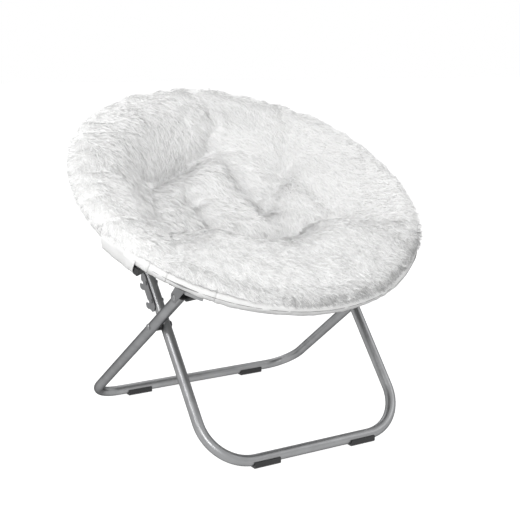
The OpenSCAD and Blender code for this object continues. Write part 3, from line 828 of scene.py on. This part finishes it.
def cord(name, path, radii, mat, body, segs=8):
    """A thin round cord along ring-frame points, with a radius at each."""
    along = np.gradient(path, axis=0)
    along /= np.linalg.norm(along, axis=-1, keepdims=True)
    side = np.cross(along, np.array([0.0, 0.0, 1.0]))
    side /= np.linalg.norm(side, axis=-1, keepdims=True)
    top = np.cross(side, along)
    turn = np.arange(segs) * 2 * math.pi / segs
    spokes = side[:, None] * np.cos(turn)[None, :, None] + top[:, None] * np.sin(turn)[None, :, None]
    ring = path[:, None] + radii[:, None, None] * spokes
    fc = [(i * segs + j, i * segs + (j + 1) % segs, (i + 1) * segs + (j + 1) % segs, (i + 1) * segs + j)
          for i in range(len(path) - 1) for j in range(segs)]
    fc += [tuple(range(segs))[::-1], tuple((len(path) - 1) * segs + j for j in range(segs))]
    ob = make_mesh(name, to_world(ring.reshape(-1, 3)), fc, mat)
    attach(ob, body)
    return ob


def rim_line(a0, a1, turn, lift, steps):
    """Angles along the ring and the points there on the sleeve's outside, at this turn round the tube."""
    a = np.linspace(a0, a1, steps)
    r = RING_R + (SLEEVE_R + lift) * math.cos(turn)
    return a, np.stack([r * np.cos(a), r * np.sin(a), np.full(steps, (SLEEVE_R + lift) * math.sin(turn))], -1)


# The sleeve's sewn seam runs round its outside, and gapes a little beside the front brackets. Its dark grey
# cord is painted shadow in the seam's gap, thickest where it gapes
for name, a0, a1, body in (("rim_seam_rear", -rear_end, math.pi + rear_end, "rear_ring"),
                           ("rim_seam_front", math.pi + front_end, 2 * math.pi - front_end, "front_ring")):
    a, line = rim_line(a0, a1, math.radians(14), 0.0012, 260)
    gap_shadow = sum(np.exp(-((a - c) / 0.05) ** 2) for c in (math.pi + 0.78, 2 * math.pi - 0.78))
    ob = cord(name, line, 0.0005 + 0.0012 * gap_shadow, seam_and_gap_shadow_mat, body)

# The bound edges of the sleeve's window over each front bracket
for side, a0, a1 in (("left", math.pi + front_win[0], math.pi + front_win[1]),
                     ("right", 2 * math.pi - front_win[1], 2 * math.pi - front_win[0])):
    for edge, turn in (("outer", -40), ("inner", -56)):
        a, line = rim_line(a0 + 0.02, a1 - 0.02, math.radians(turn), 0.0010, 30)
        ob = cord("window_edge_%s_%s" % (side, edge), line, np.full(len(a), 0.0009), black_plastic,
                  "front_ring")

# A cloth trough sewn to the rear sleeve hides each hinge channel, up to its boot
SLANT = math.asin(-HINGE_V / RING_R)
COVER_W = 0.013             # half the trough's width
COVER = [                   # its section: (out from the channel's middle, height)
    (0.0122, 0.0030), (0.0131, -0.004), (0.0133, -0.012), (0.0128, -0.020), (0.0112, -0.0255),
    (0.0070, -0.0275), (0.0, -0.0280), (-0.0070, -0.0275), (-0.0112, -0.0255), (-0.0128, -0.020),
    (-0.0133, -0.012), (-0.0131, -0.004), (-0.0122, 0.0030),
]


def hinge_cover(name, s, steps=28):
    """The trough on one side, s = 1 right and -1 left. Its rear end is half as deep."""
    along = np.array([-math.sin(SLANT) * s, -math.cos(SLANT)])
    out = np.array([math.cos(SLANT) * s, -math.sin(SLANT)])
    base = np.array([s * RING_R * math.cos(SLANT), HINGE_V])
    outer, inner = [], []
    for g in np.linspace(-0.047, 0.043, steps):
        for j, (n, h) in enumerate(COVER):
            w = 0.0007 * float(value_noise(np.array([g + 0.3 * s, j * 0.006]), 0.013, 51))
            k = 1 + w / COVER_W
            q = base + along * g + out * n * k
            h = h * (1 - 0.5 * float(smoothstep((-g - 0.0405) / 0.0065)))
            outer.append((q[0], q[1], h * (1 + 0.4 * (k - 1))))
            q = base + along * g + out * n * (k - CLOTH / COVER_W)
            inner.append((q[0], q[1], h + (CLOTH if abs(n) < 0.0115 else 0.0)))
    m = len(COVER)
    n_out = len(outer)
    fc = []
    for i in range(steps - 1):
        for j in range(m - 1):
            q = (i * m + j, (i + 1) * m + j, (i + 1) * m + j + 1, i * m + j + 1)
            fc += [q, tuple(n_out + x for x in q[::-1])]
        for j in (0, m - 1):
            fc.append((i * m + j, n_out + i * m + j, n_out + (i + 1) * m + j, (i + 1) * m + j))
    for i in (0, steps - 1):
        for j in range(m - 1):
            fc.append((i * m + j, i * m + j + 1, n_out + i * m + j + 1, n_out + i * m + j))
    return make_mesh(name, to_world(np.array(outer + inner)), fc, white_cloth)


for s, name in ((1, "hinge_cover_right"), (-1, "hinge_cover_left")):
    ob = hinge_cover(name, s)
    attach(ob, "rear_ring")

# ---------------------------------------------------------------- floor, light, camera

FLOOR_HALF = 30
corners = [(-FLOOR_HALF, -FLOOR_HALF, 0), (FLOOR_HALF, -FLOOR_HALF, 0),
           (FLOOR_HALF, FLOOR_HALF, 0), (-FLOOR_HALF, FLOOR_HALF, 0)]
floor_me = bpy.data.meshes.new("floor")
floor_me.from_pydata(corners, [], [(0, 1, 2, 3)])
floor = linked("floor", floor_me)
floor.location = (0, 0, -0.0004)
fm, nt, bs = new_mat("pale_floor")
bs.inputs["Base Color"].default_value = (0.32, 0.32, 0.32, 1)
bs.inputs["Roughness"].default_value = 0.9
bs.inputs["Specular IOR Level"].default_value = 0.1
# It glows where it is seen, to meet the white background, and that glow lights nothing
GLOW = 0.90
rays = nt.nodes.new("ShaderNodeLightPath").outputs
seen = math_node(nt, "MAXIMUM", rays["Is Camera Ray"], rays["Is Glossy Ray"])
power = math_node(nt, "MULTIPLY", seen.outputs[0], GLOW)
glow = nt.nodes.new("ShaderNodeEmission")
nt.links.new(power.outputs[0], glow.inputs["Strength"])
add = nt.nodes.new("ShaderNodeAddShader")
nt.links.new(bs.outputs[0], add.inputs[0])
nt.links.new(glow.outputs[0], add.inputs[1])
nt.links.new(add.outputs[0], nt.nodes["Material Output"].inputs["Surface"])
floor_me.materials.append(fm)

world = bpy.data.worlds.new("studio")
bpy.context.scene.world = world
world.use_nodes = True
wt = world.node_tree
bg = wt.nodes["Background"]
bg.inputs["Color"].default_value = (1, 1, 1, 1)
# White where it is seen. The light that it gives is stronger from the left than from above and the right
rays = wt.nodes.new("ShaderNodeLightPath").outputs
seen = math_node(wt, "MAXIMUM", rays["Is Camera Ray"], rays["Is Glossy Ray"])
seen = math_node(wt, "MAXIMUM", seen.outputs[0], rays["Is Transmission Ray"])
way = wt.nodes.new("ShaderNodeSeparateXYZ")
wt.links.new(wt.nodes.new("ShaderNodeTexCoord").outputs["Generated"], way.inputs[0])
lean = math_node(wt, "MULTIPLY_ADD", way.outputs["X"], 0.7)
wt.links.new(way.outputs["Z"], lean.inputs[2])
lit = wt.nodes.new("ShaderNodeMapRange")
for key, value in (("From Min", -0.3), ("From Max", 1.1), ("To Min", 1.36), ("To Max", 0.48)):
    lit.inputs[key].default_value = value
wt.links.new(lean.outputs[0], lit.inputs["Value"])
level = wt.nodes.new("ShaderNodeMapRange")
level.inputs["To Max"].default_value = 1.0
wt.links.new(seen.outputs[0], level.inputs["Value"])
wt.links.new(lit.outputs["Result"], level.inputs["To Min"])
wt.links.new(level.outputs["Result"], bg.inputs["Strength"])


def area_light(name, where, target, size, watts):
    li = bpy.data.lights.new(name, "AREA")
    li.shape = "DISK"
    li.size = size
    li.energy = watts
    ob = linked(name, li)
    ob.location = where
    ob.rotation_euler = (Vector(target) - Vector(where)).to_track_quat("-Z", "Y").to_euler()


area_light("key", (-2.2, -0.6, 2.1), (0, 0, 0.4), 0.8, 14)
area_light("fill", (2.4, -1.6, 1.9), (0, 0, 0.4), 1.8, 9)
area_light("low", (-1.4, -2.4, 1.5), (0, 0, 0.4), 0.9, 24)
area_light("back", (0.6, 2.4, 2.0), (0, 0, 0.5), 1.6, 10)

# The photograph's camera, solved from the ring's ellipse, the floor bars and the pads
cam = bpy.data.cameras.new("camera")
cam.sensor_width = 36.0
cam.lens = 69.43
cam.shift_x = -0.00096
cam_ob = linked("camera", cam)
cam_ob.location = (-1.0578, -1.8458, 0.7751)
az, el = math.radians(-30.55), math.radians(11.31)
look = Vector((-math.sin(az) * math.cos(el), math.cos(az) * math.cos(el), -math.sin(el)))
cam_ob.rotation_euler = look.to_track_quat("-Z", "Y").to_euler()
bpy.context.scene.camera = cam_ob
bpy.context.scene.view_settings.view_transform = "Standard"
